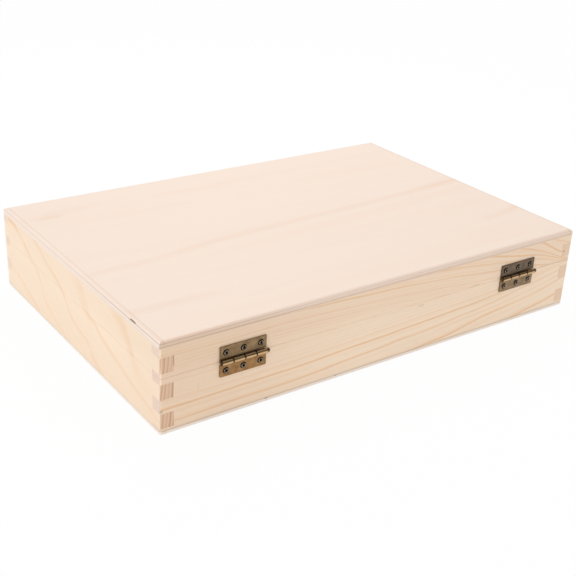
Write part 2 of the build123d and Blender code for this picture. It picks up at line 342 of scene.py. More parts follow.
# %% The rings on a board's faces
def ring_side(tree, board, part, along, height):
    """The drawn rings of the upper or lower side, and the number of the ring at each point."""
    length = 2 * (half_length if board["along"][0] == "X" else half_depth)
    strong, chart = 0.0, []
    for number, soft, crisp, points in board[part]:
        line = drawn_line(tree, along, length, [p[:2] for p in points], ring_low, ring_high)
        if number is not None:
            chart.append((number, line))
        if any(p[2] for p in points):
            strengths = [(p[0], p[2]) for p in points]
            strength = drawn_line(tree, along, length, strengths, 0.0, 1.0)
            dark = dark_beside(tree, height, line, soft, crisp)
            dark = add(tree, "Math", (dark, strength), operation="MULTIPLY")
            strong = add(tree, "Math", (strong, dark), operation="MAXIMUM")
    number = 0.0
    for i, ((first, start), (last, end)) in enumerate(zip(chart, chart[1:])):
        share = add(tree, "MapRange", {"Value": height, "From Min": start, "From Max": end,
                                       "To Max": float(last - first)}, clamp=False)
        if i > 0:
            share = add(tree, "Math", (share, 0.0), operation="MAXIMUM")
        if i < len(chart) - 2:
            share = add(tree, "Math", (share, float(last - first)), operation="MINIMUM")
        number = add(tree, "Math", (number, share), operation="ADD")
    return strong, number


print("Boards with arches:", [side for side, board in boards.items() if board["middle"]])

# %% The even rings between them
# The share of a year at which its ring is darkest, and the faintest ring's share of the darkest
winter, least_vigour = 0.8, 0.3


def even_ring(tree, number, seed, softness):
    """One even ring: it darkens through the summer, stops at the winter, and no two are alike."""
    ring = add(tree, "ValToRGB", (add(tree, "Math", (number,), operation="FRACT"),))
    ring.color_ramp.interpolation = "EASE"
    ring.color_ramp.elements[0].position = softness
    ring.color_ramp.elements[0].color = (0, 0, 0, 1)
    ring.color_ramp.elements[1].position = winter
    ring.color_ramp.elements[1].color = (1, 1, 1, 1)
    ring.color_ramp.elements.new(1.0).color = (0, 0, 0, 1)
    year = add(tree, "Math", (number,), operation="FLOOR")
    year = add(tree, "Math", (year, seed), operation="ADD")
    vigour = add(tree, "TexWhiteNoise", {"W": year}, noise_dimensions="1D")
    vigour = add(tree, "Math", (vigour.outputs["Value"], 1 - least_vigour, least_vigour),
                 operation="MULTIPLY_ADD")
    return add(tree, "Math", (ring, vigour), operation="MULTIPLY")


print("A ring is darkest at", winter, "of its year")

# %% Marks of use and of making, and painted light and shade
# This share of a mark's half size has its full darkness, and the rest fades away
mark_core = 0.35


def marked_and_painted(tree, shade, place, marks_and_painted_light):
    """Darken or lighten a shade inside small rounded blocks, each a middle, half sizes and a
    darkness: marks, painted shade and painted highlights.
    """
    for centre, sizes, darkness in marks_and_painted_light:
        factor = tuple(1 / s for s in sizes)
        offset = tuple(-c / s for c, s in zip(centre, sizes))
        inside = add(tree, "VectorMath", (place, factor, offset), operation="MULTIPLY_ADD")
        inside = add(tree, "VectorMath", (inside, inside), operation="MULTIPLY")
        inside = add(tree, "VectorMath", (inside,), operation="LENGTH")
        inside = add(tree, "MapRange", {"Value": inside.outputs["Value"], "From Min": mark_core,
                                        "From Max": 1.0, "To Min": 1 - darkness, "To Max": 1.0})
        shade = add(tree, "Math", (shade, inside), operation="MULTIPLY")
    return shade


print("Marks on the boards:", sum(len(board["marks_and_painted_light"]) for board in boards.values()))

# %% Pine as a material
pine_early, pine_late = "FAE4CC", "F0C495"
warm_brown_and_shade = "EBDDCF"
# Noises: sizes along, into and up the board in millimetres, a shift of the seed, and settings
pine_noises = {
    "sway": ((42, 30, 12), 0, {"Detail": 2.0, "Roughness": 0.5}),
    "patches": ((70, 20, 14), 2, {"Detail": 1.0}),
    "fibres": ((34, 0.7, 0.7), 5, {"Detail": 3.0, "Roughness": 0.6}),
    "canals": ((9, 0.35, 0.35), 7, {"Detail": 1.0}),
    "clouds": ((120, 30, 26), 9, {"Detail": 1.0}),
}
# How far the drawing sways on a face and on an end, in millimetres, and how far the rings lean
# for each millimetre into the board
sway_by, end_sway_by, ring_lean = 2.4, 2.0, 0.8
# How late in its year a ring starts to darken, on a face and on an end
face_softness, end_softness = 0.25, 0.1
# How much brightness the fibres, the clouds and the canals take
fibre_depth, cloud_depth, canal_darkness = 0.07, 0.05, 0.14


def pine(side):
    """Pine, flat-sawn, planed and sanded: matt, pale yellow with soft amber rings."""
    board, seed = boards[side], boards[side]["seed"]
    material, tree = empty_material(f"pine_{side}_boards")
    along, into, up, end_grain = board_place(tree, board)
    place = add(tree, "CombineXYZ", (along, into, up))
    noise = patterns(tree, place, seed, pine_noises)

    # No ring is quite smooth: the whole drawing sways by up to a millimetre
    swayed = add(tree, "Math", (noise["sway"], 0.5), operation="SUBTRACT")
    swayed = add(tree, "Math", (swayed, sway_by, up), operation="MULTIPLY_ADD")

    # The rings lean through the board, so the sawn edges show long lines too
    higher = add(tree, "Math", (into, ring_lean, swayed), operation="MULTIPLY_ADD")
    strong, number = ring_side(tree, board, "upper", along, higher)
    if board["middle"]:
        lower = add(tree, "Math", (into, -ring_lean, swayed), operation="MULTIPLY_ADD")
        strong_low, number_low = ring_side(tree, board, "lower", along, lower)
        middle = drawn_line(tree, along, 2 * half_length, board["middle"], ring_low, ring_high)
        above = add(tree, "Math", (up, middle), operation="GREATER_THAN")
        strong = add(tree, "Mix", {"Factor": above, "A": strong_low, "B": strong})
        number = add(tree, "Mix", {"Factor": above, "A": number_low, "B": number})

    # The even rings show in some patches more than in others, and never over a drawn one
    patches = add(tree, "MapRange", {"Value": noise["patches"], "From Min": 0.3,
                                     "From Max": 0.65, "To Min": 0.4},
                  interpolation_type="SMOOTHSTEP")
    fine = even_ring(tree, number, seed, face_softness)
    fine = add(tree, "Math", (fine, board["fine"]), operation="MULTIPLY")
    fine = add(tree, "Math", (fine, patches), operation="MULTIPLY")
    dark = add(tree, "Math", (fine, strong), operation="MAXIMUM")
    face = add(tree, "Mix", {"Factor": dark, "A": pine_early, "B": pine_late}, data_type="RGBA")

    # The tone drifts warmer along and up the board; where it darkens along the back and right
    # boards towards their shared near corner, that is painted shade
    for way, start, end, amount in board["warmer_and_shaded"]:
        warmth_and_shade = add(tree, "MapRange", {"Value": along if way == "along" else up,
                                        "From Min": float(start), "From Max": float(end),
                                        "To Max": amount})
        face = add(tree, "Mix", {"Factor": warmth_and_shade, "A": face, "B": warm_brown_and_shade}, data_type="RGBA",
                   blend_type="MULTIPLY")

    # End grain: the same years seen end on, close together and darker
    depth = add(tree, "Math", (up, board["end_slope"], into), operation="MULTIPLY_ADD")
    depth = add(tree, "Math", (noise["sway"], end_sway_by, depth), operation="MULTIPLY_ADD")
    depth = add(tree, "Math", (depth, board["end_rings"]), operation="DIVIDE")
    end_dark = even_ring(tree, depth, seed, end_softness)
    light, dark = board["ends"]
    ends = add(tree, "Mix", {"Factor": end_dark, "A": light, "B": dark}, data_type="RGBA")
    wood = add(tree, "Mix", {"Factor": end_grain, "A": face, "B": ends}, data_type="RGBA")

    # Fibres about half a millimetre wide and centimetres long, fine dark resin canals, and
    # slow clouds of tone: each is a small change of brightness
    canals = add(tree, "MapRange", {"Value": noise["canals"], "From Min": 0.68, "From Max": 0.8,
                                    "To Min": 1.0, "To Max": 1 - canal_darkness})
    shade = add(tree, "Math", (noise["fibres"], fibre_depth, 1 - fibre_depth / 2),
                operation="MULTIPLY_ADD")
    shade = add(tree, "Math", (shade, cloud_depth / 2), operation="SUBTRACT")
    shade = add(tree, "Math", (noise["clouds"], cloud_depth, shade), operation="MULTIPLY_ADD")
    shade = add(tree, "Math", (shade, canals), operation="MULTIPLY")

    # Marks, with painted shade and a painted highlight among them
    shade = marked_and_painted(tree, shade, place, board["marks_and_painted_light"])
    shaded = add(tree, "VectorMath", {0: wood, "Scale": shade}, operation="SCALE")
    bump = add(tree, "Bump", {"Height": noise["fibres"], "Strength": 0.25, "Distance": 0.05 * MM})
    surface = add(tree, "BsdfPrincipled", {"Base Color": shaded, "Roughness": 0.62, "IOR": 1.45,
                                           "Normal": bump})
    add(tree, "OutputMaterial", {"Surface": surface})
    return material


pine_materials = {side: pine(side) for side in boards}
for material in pine_materials.values():
    print(material.name, "has", len(material.node_tree.nodes), "nodes")

# %% [markdown]
# ## Plywood
# The lid's top and the box's bottom are thin plywood. Its wide faces are rotary-cut veneer,
# peeled round the log, so the figure is broad, faint and wavy. The edge shows the layers: in
# turn along and across, with a thin dark line of glue between them. The layers depend only on
# the height, so one ramp over the height draws them on all four edges, and where the top edge
# is rounded over, it cuts through them just as the sander did.

# %% The layers of each panel, in millimetres above its underside, and their colours
glue_top, glue_bottom = "B8A08C", "A58A72"
top_layers = ((0.0, "FAE8DA"), (0.85, "F8E5D6"), (1.1, glue_top), (1.4, "F7E8DA"), (2.95, "F4E3D4"),
              (3.25, glue_top), (3.55, "FBE6D8"), (5.0, "FBE6D8"))
# The bottom's lowest layers are painted nearly white: painted light, from the white floor below
bottom_layers_with_painted_bounce = ((0.0, "FFF6EC"), (0.8, "FDF1E6"), (0.9, "E0CDBD"), (1.0, "F8EBDE"),
                 (2.0, "F6E8DA"), (2.1, "E6D4C4"), (2.2, "F3E3D3"), (2.6, "EEDCCB"),
                 (2.75, glue_bottom), (3.0, "DCC5B0"))
# Small dark places on the edges: middle and half sizes as (along, up, from the back edge). On the
# top it is painted shade in the gap of its core; on the bottom, dark spots in the glue line.
top_gap_shade = (((2.8, 3.3, 39.2), (2.0, 0.85, 4.5), 0.62),)
bottom_marks = (((86, 2.6, 0), (1.6, 0.5, 1), 0.5), ((149, 2.6, 0), (1.2, 0.5, 1), 0.4))
# Streaks of the top veneer: half width, then points of (along, from the back edge, strength)
top_streaks = (
    (10, ((0, 117, 0.1), (25, 118.5, 0.3), (60, 120, 0.3), (100, 125, 0.4), (150, 129.5, 0.42),
          (200, 132, 0.4), (260, 135, 0.35), (310, 138, 0.35), (345, 140, 0.5),
          (372, 142.5, 0.65), (400, 143.5, 0.6))),
    (22, ((0, 100, 0), (120, 108, 0.12), (200, 112, 0.18), (320, 120, 0.18), (400, 126, 0.2))),
    (12, ((0, 48, 0.35), (40, 47.5, 0.35), (80, 47, 0.15), (110, 48, 0), (400, 60, 0))),
    (12, ((0, 30, 0), (330, 53, 0), (350, 56, 0.25), (372, 58, 0.35), (390, 62, 0.5),
          (400, 64, 0.5))),
    (9, ((0, 236, 0.1), (14, 237, 0.3), (26, 236, 0.65), (38, 236, 0.2), (80, 239, 0),
         (400, 239, 0))),
    (14, ((0, 238, 0.2), (50, 243, 0.25), (90, 245, 0.1), (160, 238, 0.2), (220, 240, 0.15),
          (400, 240, 0.1))),
)
print("Layers", len(top_layers), "and", len(bottom_layers_with_painted_bounce), "streaks", len(top_streaks))


# %% Plywood as a material
# Noises: sizes along, up and across the panel in millimetres, a shift of the seed, and settings
plywood_noises = {
    "figure": ((260, 40, 24), 0, {"Detail": 2.0, "Roughness": 0.45, "Distortion": 0.4}),
    "wave": ((60, 40, 20), 2, {"Detail": 2.0}),
    "fibres": ((30, 0.8, 0.8), 4, {"Detail": 3.0, "Roughness": 0.6}),
}
# How far the streaks wave in millimetres, and how dark the fibres are
wave_by, veneer_fibre_depth = 5.0, 0.05
# The dark line where the top starts to round over, in metres: its place and its two widths
rounding, rounding_brown = (0.1961, 0.0010, 0.0008), 0.5
# Where the glue lines fade with the distance from the corner, and where each of the first
# three browns starts and is full, in millimetres; the third, towards the corner, is painted shade
glue_fades, brown_from = (55.0, 150.0), ((3.2, 2.2), (3.3, 3.8), (120.0, 20.0))
# An edge turns into a wide face as its normal swings round to point up or down
edge_until, flat_from = 0.72, 0.95


def plywood(name, bottom, layers, face_hex, figure_hex, streaks, marks_and_painted_light, fade, brown, seed):
    """Three-layer plywood, sanded: pale broad figure on its faces, layers and glue on its edges.

    fade is how far the layers fade away from one corner, then how far on the ends; brown is how
    brown the edge is in its lowest layer, in its rounding and towards the corner, on the back,
    and then on the ends. The browning towards the corner is painted shade.
    """
    material, tree = empty_material(name)
    point = add(tree, "TexCoord")
    apart = add(tree, "SeparateXYZ", (point.outputs["Object"],))
    along = add(tree, "Math", (apart.outputs["X"], -1 / MM, half_length), operation="MULTIPLY_ADD")
    across = add(tree, "Math", (apart.outputs["Y"], -1 / MM, half_depth), operation="MULTIPLY_ADD")
    up = add(tree, "Math", (apart.outputs["Z"], 1 / MM, -bottom), operation="MULTIPLY_ADD")
    place = add(tree, "CombineXYZ", (along, up, across))
    noise = patterns(tree, place, seed, plywood_noises)

    # The broad figure of the peeled veneer
    figure = add(tree, "MapRange", {"Value": noise["figure"], "From Min": 0.45, "From Max": 0.8,
                                    "To Max": 0.2})
    waved = add(tree, "Math", (across, wave_by / 2), operation="SUBTRACT")
    waved = add(tree, "Math", (noise["wave"], wave_by, waved), operation="MULTIPLY_ADD")
    for width, points in streaks:
        places, strengths = [p[:2] for p in points], [(p[0], p[2]) for p in points]
        line = drawn_line(tree, along, 2 * half_length, places, 0.0, 2 * half_depth)
        strength = drawn_line(tree, along, 2 * half_length, strengths, 0.0, 1.0)
        streak = dark_beside(tree, waved, line, width, 0.7 * width)
        streak = add(tree, "Math", (streak, strength), operation="MULTIPLY")
        figure = add(tree, "Math", (figure, streak), operation="MAXIMUM")
    veneer = add(tree, "Mix", {"Factor": figure, "A": face_hex, "B": figure_hex}, data_type="RGBA")

    # The edge: each layer in turn, with the glue lines between them
    thickness = layers[-1][0]
    edge = add(tree, "ValToRGB", (add(tree, "Math", (up, thickness), operation="DIVIDE"),))
    edge.color_ramp.elements[0].color = colour(layers[0][1])
    edge.color_ramp.elements[1].color = colour(layers[-1][1])
    for height, hex_value in layers[1:-1]:
        edge.color_ramp.elements.new(height / thickness).color = colour(hex_value)

    # The glue shows best near one corner, and less where the edge cuts across the panel
    facing = add(tree, "SeparateXYZ", (point.outputs["Normal"],))
    away = add(tree, "Math", (along, across), operation="MAXIMUM")
    plain = add(tree, "MapRange", {"Value": away, "From Min": glue_fades[0],
                                   "From Max": glue_fades[1], "To Max": fade[0]})
    across_end = add(tree, "Math", (facing.outputs["X"],), operation="ABSOLUTE")
    plain = add(tree, "Math", (across_end, fade[1], plain), operation="MULTIPLY_ADD",
                use_clamp=True)
    edge = add(tree, "Mix", {"Factor": plain, "A": edge, "B": layers[0][1]}, data_type="RGBA")

    # The back edge is browner near the boards and where it is rounded; towards the same corner the
    # browning is painted shade
    low, rounded, near = (
        add(tree, "MapRange", {"Value": value, "From Min": start, "From Max": end, "To Max": much})
        for value, (start, end), much in zip((up, up, along), brown_from, brown))
    browner = add(tree, "Math", (low, rounded), operation="ADD")
    browner = add(tree, "Math", (browner, near), operation="ADD")
    behind = add(tree, "Math", (facing.outputs["Y"], 0.0), operation="MAXIMUM")
    browner = add(tree, "Math", (browner, behind), operation="MULTIPLY")
    browner = add(tree, "Math", (across_end, brown[3], browner), operation="MULTIPLY_ADD")

    # The wide faces begin where the sander stopped cutting into the layers
    flat = add(tree, "Math", (facing.outputs["Z"],), operation="ABSOLUTE")
    flat = add(tree, "MapRange", {"Value": flat, "From Min": edge_until, "From Max": flat_from},
               interpolation_type="SMOOTHSTEP")
    wood = add(tree, "Mix", {"Factor": flat, "A": edge, "B": veneer}, data_type="RGBA")
    outwards = add(tree, "Math", (apart.outputs["X"],), operation="ABSOLUTE")
    start_of_rounding = dark_beside(tree, outwards, *rounding)
    browner = add(tree, "Math", (start_of_rounding, rounding_brown, browner),
                  operation="MULTIPLY_ADD", use_clamp=True)
    wood = add(tree, "Mix", {"Factor": browner, "A": wood, "B": warm_brown_and_shade}, data_type="RGBA",
               blend_type="MULTIPLY")

    shade = add(tree, "Math", (noise["fibres"], veneer_fibre_depth, 1 - veneer_fibre_depth / 2),
                operation="MULTIPLY_ADD")
    # Marks, and painted shade in the top's core gap
    shade = marked_and_painted(tree, shade, place, marks_and_painted_light)
    shaded = add(tree, "VectorMath", {0: wood, "Scale": shade}, operation="SCALE")
    bump = add(tree, "Bump", {"Height": noise["fibres"], "Strength": 0.2, "Distance": 0.04 * MM})
    surface = add(tree, "BsdfPrincipled", {"Base Color": shaded, "Roughness": 0.6, "IOR": 1.45,
                                           "Normal": bump})
    add(tree, "OutputMaterial", {"Surface": surface})
    return material


top_ply = plywood("plywood_top", frame_top, top_layers, "FEEBDC", "F9DBC3", top_streaks, top_gap_shade,
                  fade=(0.42, 0.2), brown=(0.75, 0.75, 0.55, 0.0), seed=5.0)
bottom_ply = plywood("plywood_bottom", 0.0, bottom_layers_with_painted_bounce, "F6E8DA", "EED9C4", (), bottom_marks,
                     fade=(0.12, 0.5), brown=(0.0, 0.25, 0.0, 0.3), seed=15.0)
print("Plywood:", top_ply.name, bottom_ply.name)

# %% [markdown]
# ## Brass and steel
# The hinges are rolled from brass sheet and antiqued: the metal is darkened with a chemical
# bath, then brushed back, so the high places shine gold and the low ones stay brown. The
# screws are blackened steel. Noise gives the uneven bath, stretched noise the brush marks. The
# knuckles stand proud, so the brush and every hand since have rubbed them smooth and bright.

# %% Sizes of the hinges, in millimetres
screw_rows = {"base": 36.8, "lid": 50.8}
screw_spacing, hinge_centre, knuckle_length = 14.2, 135.0, 9.5
# The screws' rims stand this far off the boards; from just below the rim downwards each screw is
# painted near black as shade, in its cross and in the gap round its head
rim_stands, painted_shade_up_to = 1.6, 1.58
# The leaves turn into knuckles between these distances from the boards
knuckles_stand = (1.2, 1.8)
# How far out from its middle a countersink is painted dark as shade, and where that ends; the
# same for the joint between two knuckles; and the height over which the painted shade in a
# screw's cross fades
hole_shade, joint_dark, slot_fade = (2.35, 2.6), (0.25, 1.0), 0.2
print("Rows of screws at", screw_rows, "mm above the floor")

# %% Metals
# The two near blacks are painted shade: in the screws' crosses and round their heads, and in the
# countersinks
rubbed_gold, slot_shade_black, joint_brown, hole_shade_black = "D6B284", "0B0A09", "2A1C12", "14100D"
brush_marks = {"X": (14.0, 0.25, 0.25), "Z": (0.25, 0.25, 14.0)}
# How much rougher the brown film is, how deep the brush marks look, how much of both is rubbed
# off the knuckles, and how rough they are then
film_roughness, brushed, rubbed_off, rubbed_roughness = 0.15, 0.35, 0.75, 0.27


def metal(name, bright_hex, dark_hex, roughness, brushed_along, seed, dark_share=0.5,
          painted_shade_below=None, leaf_row=None):
    """Antiqued metal: bright under an uneven brown film, brushed one way, with painted shade in
    hollows.
    """
    material, tree = empty_material(name)
    apart = add(tree, "SeparateXYZ", (add(tree, "TexCoord").outputs["Object"],))
    x, y, z = (add(tree, "Math", (way, 1 / MM), operation="MULTIPLY") for way in apart.outputs)
    place = add(tree, "CombineXYZ", (x, y, z))
    noise = patterns(tree, place, seed, {
        "blotches": ((5.0, 5.0, 4.0), 0, {"Detail": 4.0, "Roughness": 0.6, "Distortion": 0.3}),
        "brushing": (brush_marks[brushed_along], 3, {"Detail": 2.0, "Roughness": 0.6})})

    # Each noise is about a half on the whole, so half of its weight is taken off the film again
    bath_weight, brush_weight = 1.6, 0.7
    film = dark_share - bath_weight / 2 - brush_weight / 2
    film = add(tree, "Math", (noise["blotches"], bath_weight, film), operation="MULTIPLY_ADD")
    film = add(tree, "Math", (noise["brushing"], brush_weight, film), operation="MULTIPLY_ADD",
               use_clamp=True)
    rough = add(tree, "Math", (film, film_roughness, roughness - 0.05), operation="MULTIPLY_ADD")
    if leaf_row:
        start, end = knuckles_stand
        proud = add(tree, "MapRange", {"Value": y, "From Min": half_depth + start,
                                       "From Max": half_depth + end})
        rubbed = add(tree, "Math", (proud, -rubbed_off, 1.0), operation="MULTIPLY_ADD")
        film = add(tree, "Math", (film, rubbed), operation="MULTIPLY")
        rough = add(tree, "Mix", {"Factor": proud, "A": rough, "B": rubbed_roughness})
        bright_hex = add(tree, "Mix", {"Factor": proud, "A": bright_hex, "B": rubbed_gold},
                         data_type="RGBA")
    skin = add(tree, "Mix", {"Factor": film, "A": bright_hex, "B": dark_hex}, data_type="RGBA")
    if painted_shade_below:
        # Painted shade: below the rim, the cross and the gap round the head are painted near black
        outwards = add(tree, "Math", (y,), operation="ABSOLUTE")
        out_of_shade = add(tree, "MapRange", {"Value": outwards, "From Min": painted_shade_below - slot_fade,
                                         "From Max": painted_shade_below})
        skin = add(tree, "Mix", {"Factor": out_of_shade, "A": slot_shade_black, "B": skin}, data_type="RGBA")
    if leaf_row:
        # The rubbing that brightens the knuckles does not reach between them
        beside = add(tree, "Math", (x,), operation="ABSOLUTE")
        beside = add(tree, "Math", (beside, hinge_centre), operation="SUBTRACT")
        reach = knuckle_length / 2
        joint = add(tree, "Math", (beside, reach, -reach), operation="WRAP")
        joint = add(tree, "Math", (joint,), operation="ABSOLUTE")
        joint = add(tree, "MapRange", {"Value": joint, "From Min": joint_dark[0],
                                       "From Max": joint_dark[1], "To Min": 0.85, "To Max": 0.0})
        joint = add(tree, "Math", (joint, proud), operation="MULTIPLY")
        skin = add(tree, "Mix", {"Factor": joint, "A": skin, "B": joint_brown}, data_type="RGBA")

        # Painted shade in the countersinks: how far is the nearest hole of the row?
        reach = screw_spacing / 2
        beside = add(tree, "Math", (beside, reach, -reach), operation="WRAP")
        over = add(tree, "Math", (z, leaf_row), operation="SUBTRACT")
        far = add(tree, "CombineXYZ", (beside, over, 0.0))
        far = add(tree, "VectorMath", (far,), operation="LENGTH")
        out_of_shade = add(tree, "MapRange", {"Value": far.outputs["Value"], "From Min": hole_shade[0],
                                         "From Max": hole_shade[1]})
        skin = add(tree, "Mix", {"Factor": out_of_shade, "A": hole_shade_black, "B": skin}, data_type="RGBA")
    depth = add(tree, "Math", (rubbed, brushed), operation="MULTIPLY") if leaf_row else brushed
    bump = add(tree, "Bump", {"Height": noise["brushing"], "Strength": depth,
                              "Distance": 0.03 * MM})
    surface = add(tree, "BsdfPrincipled", {"Base Color": skin, "Metallic": 1.0, "Roughness": rough,
                                           "Normal": bump})
    add(tree, "OutputMaterial", {"Surface": surface})
    return material


# The name, the bright and the dark colour, the roughness, the way of the brush and the seed
metals = {
    "pin": metal("antique_brass_pin", "A08460", "4E3B2A", 0.34, "X", 21.0),
    "clasp": metal("antique_brass_clasp", "BC9A62", "6B5438", 0.38, "Z", 26.0),
    "screw": metal("blackened_steel_screw_with_painted_shade", "AB9B87", "5E5247", 0.34, "X", 31.0, dark_share=0.35,
                   painted_shade_below=half_depth + painted_shade_up_to),
}
for side, half, *finish in (
        ("right", "lid", "antique_brass_olive", "A98D69", "745C45", 0.40, "X", 2.0),
        ("right", "base", "antique_brass_golden", "B58B5C", "7B5B3C", 0.36, "X", 6.0),
        ("left", "lid", "antique_brass_grey", "86745F", "5C4E42", 0.42, "X", 12.0),
        ("left", "base", "antique_brass_worn", "AA8F6E", "745F4B", 0.40, "X", 17.0)):
    metals[f"{side}_hinge_{half}_leaf"] = metal(*finish, leaf_row=screw_rows[half])
print("Metals:", ", ".join(metals))

# %% [markdown]
# ## Finer edges
# CAD edges are perfectly sharp, and no real edge is: the light catches a thin line along each.
# The solids are not to be changed, so a copy of each mesh stands in for it. Its loose triangles
# are joined, its flat faces made whole again, and a small bevel is cut along its sharp edges.

# %% A piece that rides on a body
bodies = frame["record"]["behaviour"]["bodies"]
body_of_node = {node: body for body, nodes in bodies.items() for node in nodes}


def as_piece(mesh, name, material, body, angle):
    """Put a mesh in the scene as one piece: curved faces smooth, flat ones flat."""
    piece = bpy.data.objects.new(name, mesh)
    bpy.context.scene.collection.objects.link(piece)
    mesh.materials.clear()
    mesh.materials.append(material)
    for face in mesh.polygons:
        face.use_smooth = True
    mesh.set_sharp_from_angle(angle=math.radians(angle))
    weighted = piece.modifiers.new("flat_faces", "WEIGHTED_NORMAL")
    weighted.keep_sharp = True
    weighted.weight = 100
    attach(piece, body)
    return piece


print("Bodies:", ", ".join(bodies))


# %% A refined copy of a solid
# Edges sharper than this, in degrees, are eased, and the rest of a surface is smoothed
sharp_angle, smooth_angle = 35, 32


def refined(node, name, material, edge):
    """A copy of a solid's mesh with its sharp edges eased by so many millimetres."""
    mesh = bpy.data.objects[node].data.copy()
    mesh.name = name
    bm = bmesh.new()
    bm.from_mesh(mesh)
    bmesh.ops.remove_doubles(bm, verts=bm.verts, dist=0.001 * MM)
    bmesh.ops.dissolve_limit(bm, angle_limit=math.radians(0.5), verts=bm.verts, edges=bm.edges)
    sharp = [e for e in bm.edges
             if len(e.link_faces) == 2 and e.calc_face_angle() > math.radians(sharp_angle)]
    bmesh.ops.bevel(bm, geom=sharp, offset=edge * MM, affect="EDGES", segments=2,
                    profile=0.5, material=-1, clamp_overlap=True)
    open_edges = sum(len(e.link_faces) != 2 for e in bm.edges)
    bm.to_mesh(mesh)
    bm.free()
    piece = as_piece(mesh, name, material, body_of_node[node], smooth_angle)
    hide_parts(node)
    print(name, "faces", len(mesh.polygons), "eased edges", len(sharp), "open edges", open_edges)


print("Edges over", sharp_angle, "degrees will be eased")

# %% Boards and panels
for half in ("base", "lid"):
    for side, material in pine_materials.items():
        refined(f"{half}_{side}_board", f"{half}_{side}_board_wood", material, edge=0.06)
refined("base_bottom_panel", "base_bottom_panel_wood", bottom_ply, edge=0.10)
refined("lid_top_panel", "lid_top_panel_wood", top_ply, edge=0.10)

# %% Hinges, pins and the hook
for side in ("left", "right"):
    for half in ("base", "lid"):
        node = f"{side}_hinge_{half}_leaf"
        refined(node, f"{node}_brass", metals[node], edge=0.08)
    refined(f"{side}_hinge_pin", f"{side}_hinge_pin_brass", metals["pin"], edge=0.1)
refined("clasp_hook", "clasp_hook_brass", metals["clasp"], edge=0.15)

# %% [markdown]
# ## Screws
# Each leaf is held by three countersunk cross-head screws, and the clasp by two with round
# heads. A screw is a turned thing, so its side is a short profile spun round its axis. The
# cross cannot be spun: its top starts as a grid of nine squares, whose middle row and column
# are pushed down and narrowed, and the grid is then bridged to the round rim.

# %% The top of a screw, with its cross
# The grid's corners are pulled in to suit the round rim, and the cross narrows to its floor
corner_pull, floor_pull = (0.78, 0.78, 1), (0.45, 0.45, 1)


def cross_top(bm, rim_radius, rim_height, crown, width, reach, depth):
    """A grid with a cross sunk into it, crowned over the rim, in mm. Returns its outline."""
    made = bmesh.ops.create_grid(bm, x_segments=3, y_segments=3, size=reach * MM)
    inner, nearly_out = width / 2 * MM, 0.9 * reach * MM
    for vert in made["verts"]:
        for axis in (0, 1):
            if abs(vert.co[axis]) < nearly_out:
                vert.co[axis] = math.copysign(inner, vert.co[axis])
    corners = [v for v in bm.verts if min(abs(v.co.x), abs(v.co.y)) > nearly_out]
    bmesh.ops.scale(bm, verts=corners, vec=corner_pull)
    bmesh.ops.subdivide_edges(bm, edges=[e for e in bm.edges if e.is_boundary], cuts=1)
    outline = [e for e in bm.edges if e.is_boundary]
    for vert in bm.verts:
        vert.co.z = (rim_height + crown * (1 - (vert.co.xy.length / MM / rim_radius) ** 2)) * MM
    cross = [f for f in bm.faces if min(abs(c) for c in f.calc_center_median().xy) < inner / 2]
    pushed = bmesh.ops.extrude_face_region(bm, geom=cross)
    floor_verts = [v for v in pushed["geom"] if isinstance(v, bmesh.types.BMVert)]
    bmesh.ops.delete(bm, geom=cross, context="FACES_ONLY")
    bmesh.ops.translate(bm, verts=floor_verts, vec=(0, 0, -depth * MM))
    bmesh.ops.scale(bm, verts=floor_verts, vec=floor_pull)
    return outline


print("A cross narrows to", floor_pull[0], "of its width")


# %% A whole screw
# The least angle, in degrees, of an edge that stays crisp on a screw
screw_angle = 40


def cross_head_screw(name, profile, top, spot, turn, facing, body, material):
    """A screw whose side is the profile, from its rim to its tip, set at a spot and turned."""
    bm = bmesh.new()
    outline = cross_top(bm, *profile[0], **top)
    verts = [bm.verts.new((radius * MM, 0, height * MM)) for radius, height in profile]
    edges = [bm.edges.new(pair) for pair in zip(verts, verts[1:])]
    bmesh.ops.spin(bm, geom=verts + edges, axis=(0, 0, 1), cent=(0, 0, 0), dvec=(0, 0, 0),
                   angle=math.tau, steps=24, use_merge=True)
    rim = [e for e in bm.edges if e.is_boundary and e not in outline
           and all(abs(v.co.z - profile[0][1] * MM) < 1e-7 for v in e.verts)]
    bmesh.ops.bridge_loops(bm, edges=rim + outline)
    bmesh.ops.delete(bm, geom=[e for e in bm.edges if e.is_wire], context="EDGES")
    bmesh.ops.remove_doubles(bm, verts=bm.verts, dist=0.002 * MM)
    bmesh.ops.recalc_face_normals(bm, faces=bm.faces)
    turned = Vector(facing).to_track_quat("Z", "Y").to_matrix().to_4x4()
    turned = turned @ Matrix.Rotation(math.radians(turn), 4, "Z")
    move = Matrix.Translation(Vector(spot) * MM) @ turned
    bmesh.ops.transform(bm, matrix=move, verts=bm.verts)
    open_edges = sum(len(e.link_faces) != 2 for e in bm.edges)
    mesh = bpy.data.meshes.new(name)
    bm.to_mesh(mesh)
    bm.free()
    print(name, "faces", len(mesh.polygons), "open edges", open_edges)
    return as_piece(mesh, name, material, body, screw_angle)


print("Crisp edges of a screw turn by over", screw_angle, "degrees")

